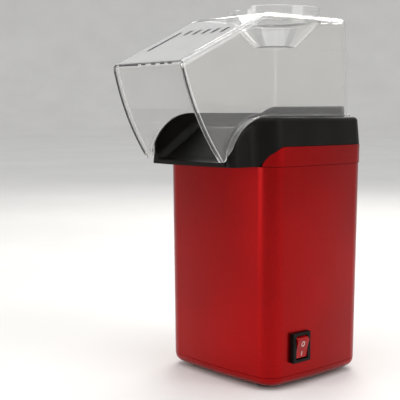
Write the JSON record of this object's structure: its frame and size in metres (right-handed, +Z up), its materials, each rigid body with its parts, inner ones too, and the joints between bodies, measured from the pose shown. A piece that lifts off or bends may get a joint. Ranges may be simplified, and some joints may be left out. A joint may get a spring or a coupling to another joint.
{
  "type": "popcorn maker",
  "caption": "Upright hot-air popcorn maker with a red housing, black chute hood, clear lift-off cover, measuring cup and a rocker switch.",
  "frame": {"origin": "the middle of the four feet, on the table", "axes": "+Z up; the chute and spout point along -Y; the switch is on the +X side"},
  "size_m": [0.13, 0.1864, 0.296],
  "materials": {
    "red_lacquer": "satin metallic lacquer",
    "black_plastic": "satin",
    "clear_plastic": "clear, polished",
    "cup_plastic": "clear, polished",
    "rubber": "matte",
    "zinc_steel": "zinc plated",
    "sheet_steel": "plain galvanised sheet",
    "aluminium": "spun, satin",
    "mica": "layered, slightly glossy",
    "heating_wire": "oxidised resistance wire",
    "silicone": "matte",
    "white_plastic": "satin",
    "ferrite": "matte",
    "copper": "enamelled",
    "brass": "plain",
    "board_green": "solder resist",
    "rocker_red": "translucent red"
  },
  "bodies": {
    "housing": {"body_shell": "red_lacquer", "upper_collar": "red_lacquer", "base_plate": "red_lacquer", "rubber_feet": "rubber", "base_screws": "zinc_steel", "fan_housing_screws": "zinc_steel", "chute_hood": "black_plastic", "popping_chamber": "aluminium", "chamber_gasket": "silicone", "heater_duct": "sheet_steel", "duct_screws": "zinc_steel", "heater_frame": "mica", "heater_coil": "heating_wire", "thermostat": "sheet_steel", "thermal_fuse": "aluminium", "fuse_clip": "sheet_steel", "fan_housing": "black_plastic", "motor_can": "sheet_steel", "motor_magnets": "ferrite", "motor_end_cap": "black_plastic", "motor_terminals": "brass", "motor_bracket": "sheet_steel", "bracket_screws": "zinc_steel", "motor_screws": "zinc_steel", "rectifier_board": "board_green", "rectifier_diodes": "black_plastic", "board_screws": "zinc_steel", "cord_gland": "black_plastic", "gland_nut": "black_plastic", "switch_bezel": "black_plastic", "switch_terminals": "brass"},
    "cover": {"clear_cover": "clear_plastic"},
    "cup": {"measuring_cup": "cup_plastic"},
    "rocker": {"switch_rocker": "rocker_red"},
    "rotor": {"fan_impeller": "white_plastic", "motor_shaft": "sheet_steel", "motor_armature": "copper"}
  },
  "joints": [
    {"name": "cover_lift", "type": "slide", "parent": "housing", "child": "cover", "axis": [0, 0, 1], "range_m": [0, 0.08]},
    {"name": "cup_lift", "type": "slide", "parent": "cover", "child": "cup", "axis": [0, 0, 1], "range_m": [0, 0.05]},
    {"name": "switch_rock", "type": "hinge", "parent": "housing", "child": "rocker", "pos_m": [0.0595, -0.0235, 0.032], "axis": [0, -1, 0], "range_deg": [0, 24]},
    {"name": "fan_spin", "type": "hinge", "parent": "housing", "child": "rotor", "pos_m": [0, 0.004, 0.07], "axis": [0, 0, 1], "continuous": true}
  ]
}
